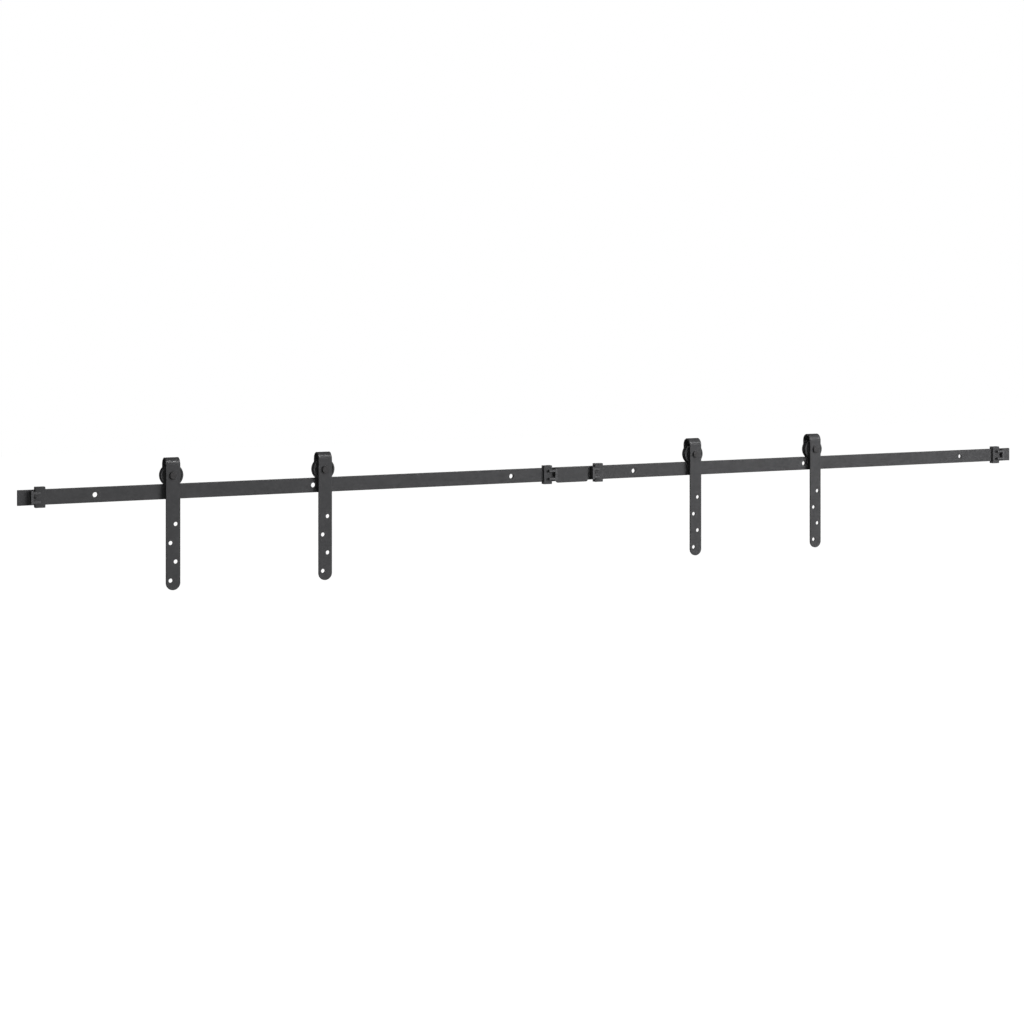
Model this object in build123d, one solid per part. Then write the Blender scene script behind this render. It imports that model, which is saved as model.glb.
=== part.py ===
from build123d import *
import os
from math import cos, pi, sin

# Sliding barn door hardware for a pair of light doors: two flat rails joined end to end on the
# wall, four wheeled hangers that run on their top edge, and a clamped stop at each end of each
# door's run. X runs along the rail, Y goes into the wall and Z is up. The origin is on the rails'
# back face, at the middle of their height, where the two rails meet. Sizes are in millimetres.

# Rails
RAIL_LENGTH = 1000.0
RAIL_HEIGHT = 25.0
RAIL_THICKNESS = 5.0
RAIL_GAP = 0.2
RAIL_ROUNDING = 1.0
RAIL_END_EDGE = 0.3
WALL_HOLE_DIAMETER = 8.5
WALL_HOLE_PLACES = (1 / 8, 1 / 2, 7 / 8)

# Plate that bridges the joint between the rails
CONNECTOR_LENGTH = 64.0
CONNECTOR_THICKNESS = 4.0
CONNECTOR_DROP = 2.6
CONNECTOR_SHIFT = -4.5
CONNECTOR_CORNER = 4.0
CONNECTOR_EDGE = 0.8
JOINT_SCREW_DIAMETER = 4.0
JOINT_SCREW_HEAD = 7.6
JOINT_SCREW_LENGTH = 8.0
JOINT_SCREW_PLACES = (-22.0, -9.0, 9.0, 20.0)

# Stops: the middle of each shoe, and the side away from the hangers that it guards
STOPS = {"stop_1": (-964.5, -1), "stop_2": (-53.7, 1), "stop_3": (50.5, -1), "stop_4": (962.5, 1)}
SHOE_WIDTH = 16.4
SHOE_HEIGHT = 33.6
SHOE_WALL = 4.0
SHOE_HOOK = 1.6
SHOE_HOOK_REACH = 2.0
SHOE_PLAY = 0.1
SHOE_EDGE = 0.7
GUARD_OUT = 15.9
GUARD_HEIGHT = 22.4
GUARD_BAR = 4.0
GUARD_DEPTH = 5.6
GUARD_OVERLAP = 8.1
GUARD_EDGE = 0.6
ARM_MIDDLE = 7.3
TONGUE_HEIGHT = 12.0
SET_SCREW_DIAMETER = 5.0
SET_SCREW_PLACE = 10.0
SET_SCREW_RECESS = 0.4
SET_SCREW_SOCKET = 2.5

# Hangers: the place of each axle along the rail
HANGERS = {"hanger_1": -748.0, "hanger_2": -482.0, "hanger_3": 252.0, "hanger_4": 520.0}
STRAP_WIDTH = 24.4
STRAP_THICKNESS = 3.0
STRAP_DEPTH = 25.0
STRAP_ROUNDING = 0.8
AXLE_ABOVE_RAIL = 14.4
TOP_ABOVE_AXLE = 29.3
END_BELOW_AXLE = 189.0
DOOR_HOLE_DIAMETER = 7.0
DOOR_HOLE_FIRST = 80.0
DOOR_HOLE_PITCH = 31.0
DOOR_HOLE_STAGGER = 4.3
DOOR_HOLE_COUNT = 4

# Axle bolt with its nut and the two sleeves that centre the wheel
AXLE_DIAMETER = 6.0
AXLE_HOLE_DIAMETER = 6.2
AXLE_HEAD_DIAMETER = 12.4
AXLE_HEAD_HEIGHT = 3.2
AXLE_HEAD_ROUNDING = 0.9
AXLE_PAST_NUT = 1.5
NUT_ACROSS_FLATS = 10.0
NUT_THICKNESS = 5.0
SLEEVE_DIAMETER = 8.6

# Wheel and its ball bearing
WHEEL_DIAMETER = 38.4
WHEEL_WIDTH = 12.0
WHEEL_RIM_ROUNDING = 0.8
RUNNING_GAP = 0.3
GROOVE_WIDTH = 5.8
GROOVE_FLARE = 0.9
WHEEL_LIP_RADIUS = 8.4
WHEEL_DISH_INNER = 11.2
WHEEL_DISH_OUTER = 16.6
WHEEL_DISH_DEPTH = 1.4
BEARING_DIAMETER = 19.0
BEARING_BORE = 6.1
BEARING_WIDTH = 6.0
BALL_DIAMETER = 3.5
BALL_COUNT = 8
BALL_PLAY = 0.05
PITCH_RADIUS = 6.15
RING_GAP = 2.2
SHIELD_THICKNESS = 0.4
SHIELD_PLAY = 0.15
SEAT_PLAY = 0.03

# Derived planes and heights
RAIL_FRONT = -RAIL_THICKNESS
RAIL_MIDDLE = -RAIL_THICKNESS / 2
RAIL_TOP = RAIL_HEIGHT / 2
SHOE_FRONT = RAIL_FRONT - SHOE_WALL
AXLE_Z = RAIL_TOP + AXLE_ABOVE_RAIL
STRAP_FRONT = RAIL_MIDDLE - STRAP_DEPTH / 2
STRAP_BACK = RAIL_MIDDLE + STRAP_DEPTH / 2
BEND_RADIUS = STRAP_DEPTH / 2
BEND_Z = AXLE_Z + TOP_ABOVE_AXLE - BEND_RADIUS
WHEEL_RADIUS = WHEEL_DIAMETER / 2
GROOVE_RADIUS = AXLE_ABOVE_RAIL - RUNNING_GAP


def block(x_low, x_high, y_low, y_high, z_low, z_high):
    """A box between two corners."""
    middle = ((x_low + x_high) / 2, (y_low + y_high) / 2, (z_low + z_high) / 2)
    return Pos(*middle) * Box(x_high - x_low, y_high - y_low, z_high - z_low)


def rod(x, z, radius, y_low, y_high):
    """A round bar along Y."""
    return Pos(x, (y_low + y_high) / 2, z) * Rot(90, 0, 0) * Cylinder(radius, y_high - y_low)


def hexagon(x, z, across_flats, y_low, y_high):
    """A hexagonal bar along Y."""
    plane = Plane(origin=(x, y_low, z), x_dir=(1, 0, 0), z_dir=(0, 1, 0))
    outline = plane * RegularPolygon(across_flats / 2, 6, major_radius=False)
    return extrude(outline, y_high - y_low)


def turned(points, x, z):
    """A solid of revolution about the line along Y through (x, z); points are (radius, y)."""
    outline = make_face(Polyline(*[(radius, y, 0) for radius, y in points], close=True))
    return Pos(x, 0, z) * revolve(outline, Axis.Y)


# ---------------------------------------------------------------- rails and their joint
def rail(side):
    """One flat bar, drilled for its wall screws and countersunk at the back for the joint."""
    inner, outer = sorted((side * RAIL_GAP / 2, side * RAIL_LENGTH))
    bar = block(inner, outer, RAIL_FRONT, 0, -RAIL_TOP, RAIL_TOP)
    bar = fillet(bar.edges().filter_by(Axis.X), RAIL_ROUNDING)
    ends = bar.faces().filter_by(Axis.X)
    bar = chamfer(ends.edges(), RAIL_END_EDGE)
    for place in WALL_HOLE_PLACES:
        bar -= rod(side * RAIL_LENGTH * place, 0, WALL_HOLE_DIAMETER / 2, RAIL_FRONT - 1, 1)
    for x in JOINT_SCREW_PLACES:
        if x * side > 0:
            bar -= rod(x, 0, JOINT_SCREW_DIAMETER / 2 + 0.1, RAIL_FRONT - 1, 1)
            bar -= countersink(x, 0.1)
    return bar


def countersink(x, play=0.0):
    """The cone under the head of a joint screw, widest at the rails' back face."""
    shank, head = JOINT_SCREW_DIAMETER / 2, JOINT_SCREW_HEAD / 2
    depth = head - shank
    return turned([(0, 0), (head + play, 0), (shank + play, -depth), (0, -depth)], x, 0)


def rail_connector():
    """The plate across the joint, with blind tapped holes in its back."""
    low, high = -RAIL_TOP - CONNECTOR_DROP, RAIL_TOP
    front = RAIL_FRONT - CONNECTOR_THICKNESS
    half = CONNECTOR_LENGTH / 2
    plate = block(CONNECTOR_SHIFT - half, CONNECTOR_SHIFT + half, front, RAIL_FRONT, low, high)
    plate = fillet(plate.edges().filter_by(Axis.Y), CONNECTOR_CORNER)
    plate = fillet(plate.faces().sort_by(Axis.Y)[0].edges(), CONNECTOR_EDGE)
    tip = -JOINT_SCREW_LENGTH - 0.2
    for x in JOINT_SCREW_PLACES:
        plate -= rod(x, 0, JOINT_SCREW_DIAMETER / 2 + 0.05, tip, RAIL_FRONT + 1)
    return plate


def joint_screw(x):
    """A countersunk screw with a hexagon socket, put in from behind."""
    shank = rod(x, 0, JOINT_SCREW_DIAMETER / 2, -JOINT_SCREW_LENGTH, -0.5)
    return shank + countersink(x) - hexagon(x, 0, 2.5, -1.5, 1)


# ---------------------------------------------------------------- stops
def stop_shoe(middle, outward):
    """The C-shaped shoe that hooks over the rail, with a tongue that holds the set screw."""
    half, top = SHOE_WIDTH / 2, SHOE_HEIGHT / 2
    inside = RAIL_TOP + SHOE_PLAY
    shoe = block(-half, half, SHOE_FRONT, SHOE_HOOK, -top, top)
    shoe = fillet(shoe.edges(), SHOE_EDGE)
    shoe -= block(-half - 1, half + 1, RAIL_FRONT, SHOE_PLAY, -inside, inside)
    reach = inside - SHOE_HOOK_REACH
    shoe -= block(-half - 1, half + 1, RAIL_FRONT, SHOE_HOOK + 1, -reach, reach)
    low, high = -TONGUE_HEIGHT / 2, TONGUE_HEIGHT / 2
    shoe += block(half - 1, GUARD_OUT, SHOE_FRONT, RAIL_FRONT, low, high)
    hole = SET_SCREW_DIAMETER / 2 + 0.05
    shoe -= rod(SET_SCREW_PLACE, 0, hole, SHOE_FRONT - 1, RAIL_FRONT + 1)
    return set_along_rail(shoe, middle, outward)


def stop_buffers(middle, outward):
    """Two rubber strips behind the guard's arms, above and below the tongue."""
    low, high = TONGUE_HEIGHT / 2, GUARD_HEIGHT / 2
    strips = block(SHOE_WIDTH / 2, GUARD_OUT, SHOE_FRONT, RAIL_FRONT, low, high)
    strips += block(SHOE_WIDTH / 2, GUARD_OUT, SHOE_FRONT, RAIL_FRONT, -high, -low)
    return set_along_rail(strips, middle, outward)


def stop_guard(middle, outward):
    """The guard in front of the shoe: two arms that carry a taller upright at the outer end."""
    front, half = SHOE_FRONT - GUARD_DEPTH, GUARD_HEIGHT / 2
    inner, upright = SHOE_WIDTH / 2 - GUARD_OVERLAP, GUARD_OUT - GUARD_BAR
    guard = block(upright, GUARD_OUT, front, SHOE_FRONT, -half, half)
    for z in (-ARM_MIDDLE, ARM_MIDDLE):
        low, high = z - GUARD_BAR / 2, z + GUARD_BAR / 2
        guard += block(inner, GUARD_OUT, front, SHOE_FRONT, low, high)
    guard = fillet(guard.faces().sort_by(Axis.Y)[0].edges(), GUARD_EDGE)
    return set_along_rail(guard, middle, outward)


def set_screw(middle, outward):
    """A headless screw with a hexagon socket in the shoe's tongue; its tip presses on the rail."""
    front = SHOE_FRONT + SET_SCREW_RECESS
    screw = rod(SET_SCREW_PLACE, 0, SET_SCREW_DIAMETER / 2, front, RAIL_FRONT)
    screw = chamfer(screw.faces().sort_by(Axis.Y)[0].edges(), 0.4)
    screw -= hexagon(SET_SCREW_PLACE, 0, SET_SCREW_SOCKET, front - 1, front + 2.0)
    return set_along_rail(screw, middle, outward)


def set_along_rail(piece, middle, outward):
    """Moves a piece drawn with its outer side towards +X to its own stop."""
    if outward < 0:
        piece = mirror(piece, about=Plane.YZ)
    return Pos(middle, 0, 0) * piece


# ---------------------------------------------------------------- hangers
def hanger_strap(x):
    """A flat strap folded over the wheel: a long leg in front and a short leg behind."""
    half = STRAP_WIDTH / 2
    front_inside = STRAP_FRONT + STRAP_THICKNESS
    back_inside = STRAP_BACK - STRAP_THICKNESS
    bend = rod(0, 0, BEND_RADIUS, -half, half) - rod(0, 0, BEND_RADIUS - STRAP_THICKNESS,
                                                     -half - 1, half + 1)
    bend = Pos(x, RAIL_MIDDLE, BEND_Z) * Rot(0, 0, 90) * bend
    bend -= block(x - half - 1, x + half + 1, STRAP_FRONT - 1, STRAP_BACK + 1,
                  BEND_Z - BEND_RADIUS - 1, BEND_Z)
    end_z = AXLE_Z - END_BELOW_AXLE + half
    front_leg = block(x - half, x + half, STRAP_FRONT, front_inside, end_z, BEND_Z)
    front_leg += rod(x, end_z, half, STRAP_FRONT, front_inside)
    back_leg = block(x - half, x + half, back_inside, STRAP_BACK, AXLE_Z, BEND_Z)
    back_leg += rod(x, AXLE_Z, half, back_inside, STRAP_BACK)
    strap = fillet((bend + front_leg + back_leg).edges(), STRAP_ROUNDING)
    strap -= rod(x, AXLE_Z, AXLE_HOLE_DIAMETER / 2, STRAP_FRONT - 1, STRAP_BACK + 1)
    for hole_x, hole_z in door_holes(x):
        strap -= rod(hole_x, hole_z, DOOR_HOLE_DIAMETER / 2, STRAP_FRONT - 1, front_inside + 1)
    return strap


def door_holes(x):
    """Middles of the door bolt holes, from the top down, staggered right and left."""
    for number in range(DOOR_HOLE_COUNT):
        side = 1 if number % 2 == 0 else -1
        drop = DOOR_HOLE_FIRST + number * DOOR_HOLE_PITCH
        yield x + side * DOOR_HOLE_STAGGER, AXLE_Z - drop


def axle_bolt(x):
    """A low round-headed bolt through both legs of the strap."""
    head_front = STRAP_FRONT - AXLE_HEAD_HEIGHT
    head = rod(x, AXLE_Z, AXLE_HEAD_DIAMETER / 2, head_front, STRAP_FRONT)
    head = fillet(head.faces().sort_by(Axis.Y)[0].edges(), AXLE_HEAD_ROUNDING)
    end = STRAP_BACK + NUT_THICKNESS + AXLE_PAST_NUT
    shank = rod(x, AXLE_Z, AXLE_DIAMETER / 2, STRAP_FRONT - 0.5, end)
    shank = chamfer(shank.faces().sort_by(Axis.Y)[-1].edges(), 0.5)
    return head + shank


def axle_nut(x):
    """The nut behind the short leg."""
    back = STRAP_BACK + NUT_THICKNESS
    nut = hexagon(x, AXLE_Z, NUT_ACROSS_FLATS, STRAP_BACK, back)
    corner = NUT_ACROSS_FLATS / 2 / cos(pi / 6)
    flat = NUT_ACROSS_FLATS / 2
    lead = [(0, STRAP_BACK), (corner, STRAP_BACK), (corner, back - 0.8), (flat, back), (0, back)]
    nut &= turned(lead, x, AXLE_Z)
    return nut - rod(x, AXLE_Z, AXLE_DIAMETER / 2 + 0.05, STRAP_BACK - 1, back + 1)


def axle_sleeve(x, y_low, y_high):
    """A plain sleeve between a leg of the strap and the bearing's inner ring."""
    sleeve = rod(x, AXLE_Z, SLEEVE_DIAMETER / 2, y_low, y_high)
    return sleeve - rod(x, AXLE_Z, AXLE_DIAMETER / 2 + 0.05, y_low - 1, y_high + 1)


# ---------------------------------------------------------------- wheels
def wheel(x):
    """The grooved wheel, bored from the back for its bearing, with a dish in each side."""
    side, groove = WHEEL_WIDTH / 2, GROOVE_WIDTH / 2
    mouth = groove + GROOVE_FLARE
    seat, seat_y = BEARING_DIAMETER / 2 + SEAT_PLAY, BEARING_WIDTH / 2 + SEAT_PLAY
    dish = side - WHEEL_DISH_DEPTH
    half = [(WHEEL_DISH_INNER, side), (WHEEL_DISH_INNER + 0.5, dish),
            (WHEEL_DISH_OUTER - 0.5, dish), (WHEEL_DISH_OUTER, side),
            (WHEEL_RADIUS, side), (WHEEL_RADIUS, mouth + 0.5), (WHEEL_RADIUS - 0.4, mouth),
            (GROOVE_RADIUS, groove)]
    mirrored = [(radius, -y) for radius, y in reversed(half)]
    hub = [(WHEEL_LIP_RADIUS, -side), (WHEEL_LIP_RADIUS, -seat_y), (seat, -seat_y), (seat, side)]
    points = [(radius, y + RAIL_MIDDLE) for radius, y in half + mirrored + hub]
    body = turned(points, x, AXLE_Z)
    rims = [edge for edge in body.edges().filter_by(GeomType.CIRCLE)
            if abs(edge.radius - WHEEL_RADIUS) < 0.01
            and abs(abs(edge.center().Y - RAIL_MIDDLE) - side) < 0.01]
    return fillet(rims, WHEEL_RIM_ROUNDING)


def bearing_ring(x, inner, outer):
    """One ring of the ball bearing, with its race cut round it."""
    low, high = RAIL_MIDDLE - BEARING_WIDTH / 2, RAIL_MIDDLE + BEARING_WIDTH / 2
    ring = rod(x, AXLE_Z, outer, low, high) - rod(x, AXLE_Z, inner, low - 1, high + 1)
    race = Torus(PITCH_RADIUS, BALL_DIAMETER / 2 + BALL_PLAY)
    return ring - Pos(x, RAIL_MIDDLE, AXLE_Z) * Rot(90, 0, 0) * race


def bearing_inner_ring(x):
    """The ring clamped on the axle between the sleeves."""
    return bearing_ring(x, BEARING_BORE / 2, PITCH_RADIUS - RING_GAP / 2)


def bearing_outer_ring(x):
    """The ring seated in the wheel."""
    return bearing_ring(x, PITCH_RADIUS + RING_GAP / 2, BEARING_DIAMETER / 2)


def bearing_ball(x, number):
    """One ball in the race."""
    angle = 2 * pi * number / BALL_COUNT
    centre_x, centre_z = x + PITCH_RADIUS * cos(angle), AXLE_Z + PITCH_RADIUS * sin(angle)
    return Pos(centre_x, RAIL_MIDDLE, centre_z) * Sphere(BALL_DIAMETER / 2)


def bearing_shield(x, side):
    """A thin washer that closes the space between the rings."""
    outer_face = RAIL_MIDDLE + side * (BEARING_WIDTH / 2 - 0.1)
    low, high = sorted((outer_face, outer_face - side * SHIELD_THICKNESS))
    inner, outer = PITCH_RADIUS - RING_GAP / 2, PITCH_RADIUS + RING_GAP / 2
    disc = rod(x, AXLE_Z, outer - SEAT_PLAY, low, high)
    return disc - rod(x, AXLE_Z, inner + SHIELD_PLAY, low - 1, high + 1)


# ---------------------------------------------------------------- the whole object
def all_nodes():
    """Every node's name with its list of solids."""
    nodes = {
        "left_rail": [rail(-1)],
        "right_rail": [rail(1)],
        "rail_connector": [rail_connector()],
        "connector_screws": [joint_screw(x) for x in JOINT_SCREW_PLACES],
    }
    for name, (middle, outward) in STOPS.items():
        nodes[name + "_shoe"] = [stop_shoe(middle, outward)]
        nodes[name + "_guard"] = [stop_guard(middle, outward)]
        nodes[name + "_buffers"] = [stop_buffers(middle, outward)]
        nodes[name + "_set_screw"] = [set_screw(middle, outward)]
    bearing_front = RAIL_MIDDLE - BEARING_WIDTH / 2
    bearing_back = RAIL_MIDDLE + BEARING_WIDTH / 2
    for name, x in HANGERS.items():
        nodes[name + "_strap"] = [hanger_strap(x)]
        nodes[name + "_axle_bolt"] = [axle_bolt(x)]
        nodes[name + "_axle_nut"] = [axle_nut(x)]
        nodes[name + "_axle_sleeves"] = [
            axle_sleeve(x, STRAP_FRONT + STRAP_THICKNESS, bearing_front),
            axle_sleeve(x, bearing_back, STRAP_BACK - STRAP_THICKNESS),
        ]
        nodes[name + "_wheel"] = [wheel(x)]
        nodes[name + "_bearing_inner_ring"] = [bearing_inner_ring(x)]
        nodes[name + "_bearing_outer_ring"] = [bearing_outer_ring(x)]
        nodes[name + "_bearing_balls"] = [bearing_ball(x, n) for n in range(BALL_COUNT)]
        nodes[name + "_bearing_shields"] = [bearing_shield(x, side) for side in (-1, 1)]
    return nodes


def write_nodes():
    """One STEP file for each node."""
    os.makedirs("parts", exist_ok=True)
    for name, pieces in all_nodes().items():
        solids = [solid for piece in pieces for solid in piece.solids()]
        shape = solids[0] if len(solids) == 1 else Compound(children=solids)
        export_step(shape, f"parts/{name}.step")


write_nodes()
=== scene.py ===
"""Sliding barn door hardware: materials, camera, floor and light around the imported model.

Every CAD node keeps its shape and place and takes a procedural material. Units are metres.
"""

import math

import bpy
from mathutils import Matrix, Vector


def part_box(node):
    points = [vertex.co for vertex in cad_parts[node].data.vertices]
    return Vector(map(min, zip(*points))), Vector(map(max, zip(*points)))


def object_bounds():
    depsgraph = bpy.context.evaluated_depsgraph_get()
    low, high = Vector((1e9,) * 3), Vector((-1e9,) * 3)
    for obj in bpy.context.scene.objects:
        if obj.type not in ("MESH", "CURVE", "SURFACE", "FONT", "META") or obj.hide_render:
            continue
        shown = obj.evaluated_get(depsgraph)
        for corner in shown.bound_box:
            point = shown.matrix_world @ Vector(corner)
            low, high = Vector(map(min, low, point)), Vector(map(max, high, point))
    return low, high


MM = 0.001

# Camera: level, turned towards the right half of the rails
CAMERA_PLACE = (-1.6481, -3.1790, 0.3260)
CAMERA_TURN = math.radians(25.649)
CAMERA_LENS = 69.166
CAMERA_SENSOR = 36.0
CAMERA_SHIFT_DOWN = -0.2128
CAMERA_NEAR = 0.05
CAMERA_FAR = 100.0

# Floor
FLOOR_DROP = 0.75
FLOOR_SIZE = 24.0
FLOOR_BOUNCE = 0.25

# Key and side light from the front right, hidden from reflections
KEY_PLACE = (3.1, -4.9, 0.95)
KEY_TARGET = (0.7, 0.0, 0.0)
KEY_SIZE = (3.0, 1.6)
KEY_POWER = 358.0
SIDE_PLACE = (2.4, -2.3, 0.55)
SIDE_TARGET = (0.9, 0.0, 0.0)
SIDE_SIZE = (1.2, 1.0)
SIDE_POWER = 18.0

# Weak light from the front left, for the wheels' side faces
FRONT_PLACE = (-2.0, -4.4, 0.3)
FRONT_TARGET = (-0.3, 0.0, 0.0)
FRONT_SIZE = (1.6, 1.2)
FRONT_POWER = 17.0

# Tilted strip and small glint above, reflected in the bends of the straps
STRIP_LEFT = Vector((-0.35, -1.30, 2.15))
STRIP_RIGHT = Vector((2.20, -1.85, 1.25))
STRIP_TARGET = (0.0, 0.0, 0.05)
STRIP_WIDTH = 0.20
STRIP_POWER = 19.0
GLINT_PLACE = (-0.10, -1.28, 2.02)
GLINT_TARGET = (-0.75, 0.0, 0.05)
GLINT_SIZE = (0.7, 0.16)
GLINT_POWER = 8.5

# Low light behind, and an even fill from all round
BACK_PLACE = (0.7, 3.4, -0.35)
BACK_TARGET = (0.0, 0.0, 0.0)
BACK_SIZE = (2.4, 1.4)
BACK_POWER = 50.0
FILL_STRENGTH = 0.07

WHITE = (1.0, 1.0, 1.0, 1.0)

# Powder coat: dark and light blotches, and the colour where it is rubbed
COAT = ((0.040, 0.040, 0.0415), (0.056, 0.056, 0.058), (0.14, 0.14, 0.145))
# Guards: the same coat made paler, a painted highlight for the light the guards catch
GUARD_COAT_PAINTED_HIGHLIGHT = ((0.060, 0.060, 0.062), (0.082, 0.082, 0.085), (0.18, 0.18, 0.185))
COAT_GRAIN = 0.4 * MM
COAT_PEEL = 2.5 * MM

# Edge wear: how far the smoothed normal leans from the true one, and which blotches show it
LEAN_START = 0.995
LEAN_FULL = 0.93
PATCH_START = 0.50
PATCH_FULL = 0.66
BEVEL_SAMPLES = 6

# Colour sockets of the Mix node
MIX_COLOURS = (6, 7)
MIX_RESULT = 2


# ---------------------------------------------------------------- shader nodes
def link(tree, source, target):
    tree.links.new(source, target)


def new_material(name):
    """A node material: its tree, its Principled shader and the coordinates of the node it is on."""
    material = bpy.data.materials.new(name)
    material.use_nodes = True
    tree = material.node_tree
    tree.nodes.clear()
    output = tree.nodes.new("ShaderNodeOutputMaterial")
    shader = tree.nodes.new("ShaderNodeBsdfPrincipled")
    link(tree, shader.outputs["BSDF"], output.inputs["Surface"])
    place = tree.nodes.new("ShaderNodeTexCoord").outputs["Object"]
    return material, tree, shader, place


def noise(tree, coordinates, size, detail):
    """Noise whose blotches are about `size` metres across."""
    texture = tree.nodes.new("ShaderNodeTexNoise")
    texture.inputs["Scale"].default_value = 1.0 / size
    texture.inputs["Detail"].default_value = detail
    texture.inputs["Roughness"].default_value = 0.55
    link(tree, coordinates, texture.inputs["Vector"])
    return texture.outputs["Fac"]


def remap(tree, value, low, high, to_low, to_high):
    """value from low..high to to_low..to_high, clamped."""
    ranger = tree.nodes.new("ShaderNodeMapRange")
    link(tree, value, ranger.inputs["Value"])
    ranger.inputs["From Min"].default_value = low
    ranger.inputs["From Max"].default_value = high
    ranger.inputs["To Min"].default_value = to_low
    ranger.inputs["To Max"].default_value = to_high
    return ranger.outputs["Result"]


def blend_colour(tree, factor, *colours):
    """Mixes two colours, each a constant tuple or another node's output."""
    mix = tree.nodes.new("ShaderNodeMix")
    mix.data_type = "RGBA"
    link(tree, factor, mix.inputs["Factor"])
    for index, colour in zip(MIX_COLOURS, colours):
        if isinstance(colour, tuple):
            mix.inputs[index].default_value = (*colour, 1.0)
        else:
            link(tree, colour, mix.inputs[index])
    return mix.outputs[MIX_RESULT]


def maths(tree, operation, *values):
    """A Math node on outputs or numbers."""
    made = tree.nodes.new("ShaderNodeMath")
    made.operation = operation
    for socket, value in zip(made.inputs, values):
        if isinstance(value, (int, float)):
            socket.default_value = value
        else:
            link(tree, value, socket)
    return made.outputs["Value"]


def vector_maths(tree, operation, vector, constant=None):
    """A Vector Math node on an output and, if it is given, a constant vector."""
    made = tree.nodes.new("ShaderNodeVectorMath")
    made.operation = operation
    link(tree, vector, made.inputs[0])
    if constant is not None:
        made.inputs[1].default_value = constant
    return made.outputs


def weighted(tree, first, first_weight, second, second_weight):
    """first * first_weight + second * second_weight."""
    first_part = maths(tree, "MULTIPLY", first, first_weight)
    second_part = maths(tree, "MULTIPLY", second, second_weight)
    return maths(tree, "ADD", first_part, second_part)


def bump(tree, height, strength, distance):
    """The normal of a surface whose height varies by up to `distance` metres."""
    bumped = tree.nodes.new("ShaderNodeBump")
    bumped.inputs["Strength"].default_value = strength
    bumped.inputs["Distance"].default_value = distance
    link(tree, height, bumped.inputs["Height"])
    return bumped.outputs["Normal"]


def edge_mask(tree, radius, coordinates, patch_size):
    """1 on convex and concave edges narrower than `radius`, broken up in patches."""
    bevel = tree.nodes.new("ShaderNodeBevel")
    bevel.samples = BEVEL_SAMPLES
    bevel.inputs["Radius"].default_value = radius
    geometry = tree.nodes.new("ShaderNodeNewGeometry")
    facing = tree.nodes.new("ShaderNodeVectorMath")
    facing.operation = "DOT_PRODUCT"
    link(tree, bevel.outputs["Normal"], facing.inputs[0])
    link(tree, geometry.outputs["Normal"], facing.inputs[1])
    edge = remap(tree, facing.outputs["Value"], LEAN_START, LEAN_FULL, 0.0, 1.0)
    blotches = noise(tree, coordinates, patch_size, 4.0)
    patches = remap(tree, blotches, PATCH_START, PATCH_FULL, 0.0, 1.0)
    return maths(tree, "MULTIPLY", edge, patches)


def turning_marks(tree, coordinates, axis_place, pitch):
    """Fine rings round an axis along Y through axis_place, 0 to 1 across each ring."""
    from_axis = vector_maths(tree, "SUBTRACT", coordinates, axis_place)["Vector"]
    flat = vector_maths(tree, "MULTIPLY", from_axis, (1.0, 0.0, 1.0))["Vector"]
    radius = vector_maths(tree, "LENGTH", flat)["Value"]
    wobble = maths(tree, "MULTIPLY", noise(tree, coordinates, 3 * MM, 1.0), 0.6)
    turns = maths(tree, "ADD", maths(tree, "DIVIDE", radius, pitch), wobble)
    wave = maths(tree, "SINE", maths(tree, "MULTIPLY", turns, 2 * math.pi))
    return remap(tree, wave, -1.0, 1.0, 0.0, 1.0)


# ---------------------------------------------------------------- materials
def powder_coat(name, dark, light, worn, roughness):
    """Matt powder coat: orange peel under a fine grain, faint mottling, coat rubbed thin on edges."""
    material, tree, shader, place = new_material(name)
    mottle = remap(tree, noise(tree, place, 9 * MM, 4.0), 0.32, 0.68, 0.0, 1.0)
    speckle = remap(tree, noise(tree, place, COAT_GRAIN * 1.3, 2.0), 0.35, 0.75, 0.0, 1.0)
    coat = blend_colour(tree, weighted(tree, mottle, 0.6, speckle, 0.4), dark, light)
    wear = maths(tree, "MULTIPLY", edge_mask(tree, 0.5 * MM, place, 6 * MM), 0.55)
    link(tree, blend_colour(tree, wear, coat, worn), shader.inputs["Base Color"])
    gloss = remap(tree, mottle, 0.0, 1.0, roughness + 0.05, roughness - 0.04)
    rough = maths(tree, "SUBTRACT", gloss, maths(tree, "MULTIPLY", wear, 0.10))
    link(tree, rough, shader.inputs["Roughness"])
    grain = noise(tree, place, COAT_GRAIN, 2.0)
    peel = noise(tree, place, COAT_PEEL, 1.0)
    height = weighted(tree, grain, 0.45, peel, 1.0)
    link(tree, bump(tree, height, 0.35, 0.05 * MM), shader.inputs["Normal"])
    return material


def black_oxide(name, axis_place):
    """Blackened steel with an oil film: turning rings, cloudy gloss and bare metal on the corners."""
    material, tree, shader, place = new_material(name)
    cloud = remap(tree, noise(tree, place, 2.5 * MM, 4.0), 0.35, 0.65, 0.0, 1.0)
    rings = turning_marks(tree, place, axis_place, 0.35 * MM)
    shade = weighted(tree, cloud, 0.7, rings, 0.3)
    black = blend_colour(tree, shade, (0.038, 0.037, 0.037), (0.060, 0.059, 0.061))
    bare = maths(tree, "MULTIPLY", edge_mask(tree, 0.3 * MM, place, 1.5 * MM), 0.7)
    link(tree, blend_colour(tree, bare, black, (0.33, 0.32, 0.31)), shader.inputs["Base Color"])
    link(tree, remap(tree, bare, 0.0, 1.0, 0.15, 0.9), shader.inputs["Metallic"])
    link(tree, remap(tree, shade, 0.0, 1.0, 0.46, 0.30), shader.inputs["Roughness"])
    height = weighted(tree, rings, 0.5, noise(tree, place, 0.25 * MM, 2.0), 0.5)
    link(tree, bump(tree, height, 0.3, 0.02 * MM), shader.inputs["Normal"])
    return material


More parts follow.
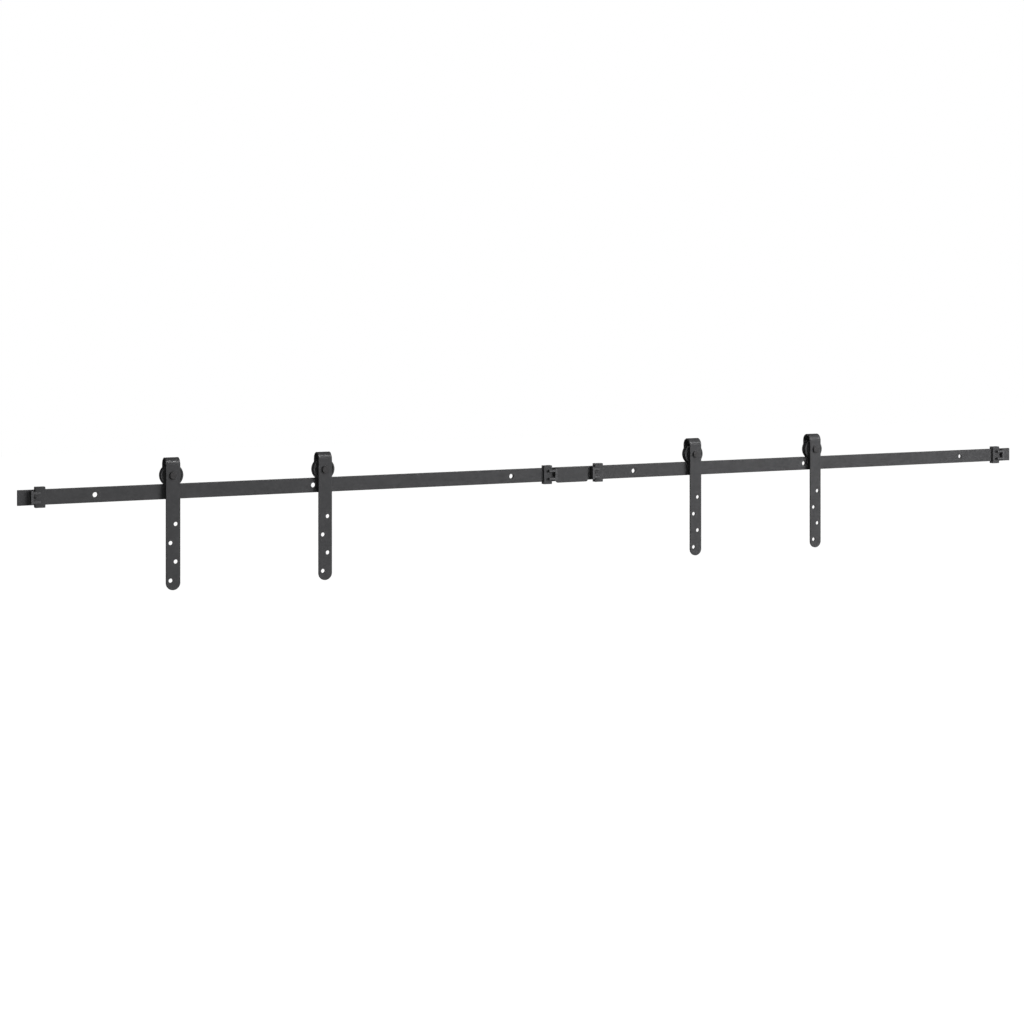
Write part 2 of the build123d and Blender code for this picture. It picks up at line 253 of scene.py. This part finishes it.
def zinc_plate(name):
    """Passivated zinc: pale metal with cool and straw-coloured clouds and fine scuffs along X."""
    material, tree, shader, place = new_material(name)
    cloud = remap(tree, noise(tree, place, 3 * MM, 4.0), 0.35, 0.65, 0.0, 1.0)
    plate = blend_colour(tree, cloud, (0.47, 0.50, 0.54), (0.60, 0.59, 0.54))
    bloom = remap(tree, noise(tree, place, 0.8 * MM, 3.0), 0.58, 0.72, 0.0, 0.6)
    link(tree, blend_colour(tree, bloom, plate, (0.70, 0.70, 0.69)), shader.inputs["Base Color"])
    shader.inputs["Metallic"].default_value = 1.0
    link(tree, remap(tree, cloud, 0.0, 1.0, 0.30, 0.42), shader.inputs["Roughness"])
    stretched = vector_maths(tree, "MULTIPLY", place, (0.08, 1.0, 1.0))["Vector"]
    scuffs = noise(tree, stretched, 0.2 * MM, 2.0)
    link(tree, bump(tree, scuffs, 0.25, 0.01 * MM), shader.inputs["Normal"])
    return material


def moulded_nylon(name, axis_place):
    """Black nylon with turned faces: fine rings, a slight bloom and scuffed edges."""
    material, tree, shader, place = new_material(name)
    bloom = remap(tree, noise(tree, place, 6 * MM, 4.0), 0.35, 0.70, 0.0, 1.0)
    rings = turning_marks(tree, place, axis_place, 0.6 * MM)
    shade = weighted(tree, bloom, 0.65, rings, 0.35)
    nylon = blend_colour(tree, shade, (0.036, 0.036, 0.037), (0.066, 0.066, 0.068))
    scuff = maths(tree, "MULTIPLY", edge_mask(tree, 0.6 * MM, place, 2 * MM), 0.5)
    link(tree, blend_colour(tree, scuff, nylon, (0.12, 0.12, 0.12)), shader.inputs["Base Color"])
    link(tree, remap(tree, shade, 0.0, 1.0, 0.52, 0.40), shader.inputs["Roughness"])
    height = weighted(tree, rings, 0.8, noise(tree, place, 0.3 * MM, 2.0), 0.2)
    link(tree, bump(tree, height, 0.4, 0.03 * MM), shader.inputs["Normal"])
    return material


def ground_steel(name, axis_place):
    """Bearing steel: fine ground rings and a faint brown stain."""
    material, tree, shader, place = new_material(name)
    rings = turning_marks(tree, place, axis_place, 0.15 * MM)
    stain = remap(tree, noise(tree, place, 2 * MM, 4.0), 0.52, 0.72, 0.0, 0.5)
    steel = blend_colour(tree, rings, (0.52, 0.52, 0.53), (0.64, 0.64, 0.65))
    link(tree, blend_colour(tree, stain, steel, (0.36, 0.31, 0.26)), shader.inputs["Base Color"])
    shader.inputs["Metallic"].default_value = 1.0
    dullness = weighted(tree, rings, 0.5, stain, 1.0)
    link(tree, remap(tree, dullness, 0.0, 1.0, 0.18, 0.34), shader.inputs["Roughness"])
    link(tree, bump(tree, rings, 0.2, 0.008 * MM), shader.inputs["Normal"])
    return material


def moulded_rubber(name):
    """Black rubber: dull, dusty in patches, with a fine moulded grain."""
    material, tree, shader, place = new_material(name)
    dust = remap(tree, noise(tree, place, 4 * MM, 4.0), 0.45, 0.75, 0.0, 1.0)
    pores = noise(tree, place, 0.35 * MM, 3.0)
    shade = weighted(tree, dust, 0.7, pores, 0.3)
    rubber = blend_colour(tree, shade, (0.010, 0.010, 0.010), (0.028, 0.028, 0.027))
    link(tree, rubber, shader.inputs["Base Color"])
    link(tree, remap(tree, dust, 0.0, 1.0, 0.62, 0.82), shader.inputs["Roughness"])
    shader.inputs["Specular IOR Level"].default_value = 0.3
    link(tree, bump(tree, pores, 0.35, 0.03 * MM), shader.inputs["Normal"])
    return material


def make_shared_materials():
    """The materials that look the same on every node, by packed slot, and the guards' own."""
    return {
        "rail_steel": powder_coat("rail_coat", *COAT, 0.44),
        "connector_steel": powder_coat("connector_coat", *COAT, 0.44),
        "stop_steel": powder_coat("stop_coat", *COAT, 0.42),
        "strap_steel": powder_coat("strap_coat", *COAT, 0.34),
        "zinc_screws": zinc_plate("zinc_plate"),
        "buffer_rubber": moulded_rubber("black_rubber"),
        # The guards' paler coat is a painted highlight for the light on their fronts
        "guard": powder_coat("guard_coat_painted_highlight", *GUARD_COAT_PAINTED_HIGHLIGHT, 0.38),
    }


def material_for(name, slot, shared):
    """Turned parts get rings round their own axis; a guard takes a paler copy of the coat, a painted
    highlight for the light it catches.
    """
    low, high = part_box(name)
    axis_place = (low + high) / 2
    if slot == "black_fasteners":
        return black_oxide(name + "_oxide", axis_place)
    if slot == "wheel_nylon":
        return moulded_nylon(name + "_nylon", axis_place)
    if slot == "bearing_steel":
        return ground_steel(name + "_steel", axis_place)
    if name.endswith("_guard"):
        return shared["guard"]
    return shared[slot]


def dress_nodes(nodes):
    """Puts its finished material in every material slot of every CAD node."""
    shared = make_shared_materials()
    for name, cad_node in nodes.items():
        slots = cad_node.data.materials
        for index, packed in enumerate(slots):
            slots[index] = material_for(name, packed.name, shared)


# ---------------------------------------------------------------- light, floor and camera
def area_light(name, place, target, size, power, along=(1.0, 0.0, 0.0)):
    """A rectangular light that faces target, with its long side as near to `along` as it can be."""
    data = bpy.data.lights.new(name, "AREA")
    data.shape = "RECTANGLE"
    data.size, data.size_y = size
    data.energy = power
    light = bpy.data.objects.new(name, data)
    bpy.context.scene.collection.objects.link(light)
    back = (Vector(place) - Vector(target)).normalized()
    up = back.cross(Vector(along)).normalized()
    turn = Matrix((up.cross(back), up, back)).transposed()
    light.matrix_world = Matrix.Translation(place) @ turn.to_4x4()
    return light


def make_lights():
    strip_along = STRIP_RIGHT - STRIP_LEFT
    strip_middle = (STRIP_LEFT + STRIP_RIGHT) / 2
    strip_size = (strip_along.length, STRIP_WIDTH)
    key = area_light("key", KEY_PLACE, KEY_TARGET, KEY_SIZE, KEY_POWER)
    side = area_light("side", SIDE_PLACE, SIDE_TARGET, SIDE_SIZE, SIDE_POWER)
    key.visible_glossy = side.visible_glossy = False
    area_light("strip", strip_middle, STRIP_TARGET, strip_size, STRIP_POWER, strip_along)
    area_light("front", FRONT_PLACE, FRONT_TARGET, FRONT_SIZE, FRONT_POWER)
    area_light("glint", GLINT_PLACE, GLINT_TARGET, GLINT_SIZE, GLINT_POWER)
    area_light("back", BACK_PLACE, BACK_TARGET, BACK_SIZE, BACK_POWER)


def make_world():
    """White to the camera, and a weak even fill for everything else."""
    world = bpy.data.worlds.new("studio")
    bpy.context.scene.world = world
    world.use_nodes = True
    tree = world.node_tree
    tree.nodes.clear()
    output = tree.nodes.new("ShaderNodeOutputWorld")
    background = tree.nodes.new("ShaderNodeBackground")
    path = tree.nodes.new("ShaderNodeLightPath")
    strength = remap(tree, path.outputs["Is Camera Ray"], 0.0, 1.0, FILL_STRENGTH, 1.0)
    background.inputs["Color"].default_value = WHITE
    link(tree, strength, background.inputs["Strength"])
    link(tree, background.outputs["Background"], output.inputs["Surface"])


def pale_floor():
    """White to the camera, with a diffuse bounce."""
    material = bpy.data.materials.new("pale_floor")
    material.use_nodes = True
    tree = material.node_tree
    tree.nodes.clear()
    output = tree.nodes.new("ShaderNodeOutputMaterial")
    paint = tree.nodes.new("ShaderNodeBsdfDiffuse")
    paint.inputs["Color"].default_value = (FLOOR_BOUNCE, FLOOR_BOUNCE, FLOOR_BOUNCE, 1.0)
    glow = tree.nodes.new("ShaderNodeEmission")
    glow.inputs["Color"].default_value = WHITE
    path = tree.nodes.new("ShaderNodeLightPath")
    link(tree, path.outputs["Is Camera Ray"], glow.inputs["Strength"])
    both = tree.nodes.new("ShaderNodeAddShader")
    link(tree, paint.outputs["BSDF"], both.inputs[0])
    link(tree, glow.outputs["Emission"], both.inputs[1])
    link(tree, both.outputs["Shader"], output.inputs["Surface"])
    return material


def make_floor(low, high):
    """A wide floor, FLOOR_DROP below the box from low to high and centred on it."""
    half = FLOOR_SIZE / 2
    corners = [(-half, -half, 0), (half, -half, 0), (half, half, 0), (-half, half, 0)]
    mesh = bpy.data.meshes.new("floor")
    mesh.from_pydata(corners, [], [(0, 1, 2, 3)])
    mesh.materials.append(pale_floor())
    floor = bpy.data.objects.new("floor", mesh)
    bpy.context.scene.collection.objects.link(floor)
    middle = (low + high) / 2
    floor.location = (middle.x, middle.y, low.z - FLOOR_DROP)


def make_camera():
    data = bpy.data.cameras.new("camera")
    data.sensor_width = CAMERA_SENSOR
    data.lens = CAMERA_LENS
    data.shift_y = CAMERA_SHIFT_DOWN
    data.clip_start = CAMERA_NEAR
    data.clip_end = CAMERA_FAR
    camera = bpy.data.objects.new("camera", data)
    bpy.context.scene.collection.objects.link(camera)
    camera.location = CAMERA_PLACE
    camera.rotation_euler = (math.radians(90.0), 0.0, -CAMERA_TURN)
    bpy.context.scene.camera = camera


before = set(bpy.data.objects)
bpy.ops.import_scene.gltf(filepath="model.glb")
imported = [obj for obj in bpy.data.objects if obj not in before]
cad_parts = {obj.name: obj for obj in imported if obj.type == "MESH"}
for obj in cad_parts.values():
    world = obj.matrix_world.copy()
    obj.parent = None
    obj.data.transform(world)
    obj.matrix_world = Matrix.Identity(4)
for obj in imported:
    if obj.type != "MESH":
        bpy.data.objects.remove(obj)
cad_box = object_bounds()
dress_nodes(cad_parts)
make_world()
make_floor(*cad_box)
make_lights()
make_camera()
bpy.context.scene.view_settings.view_transform = "Standard"
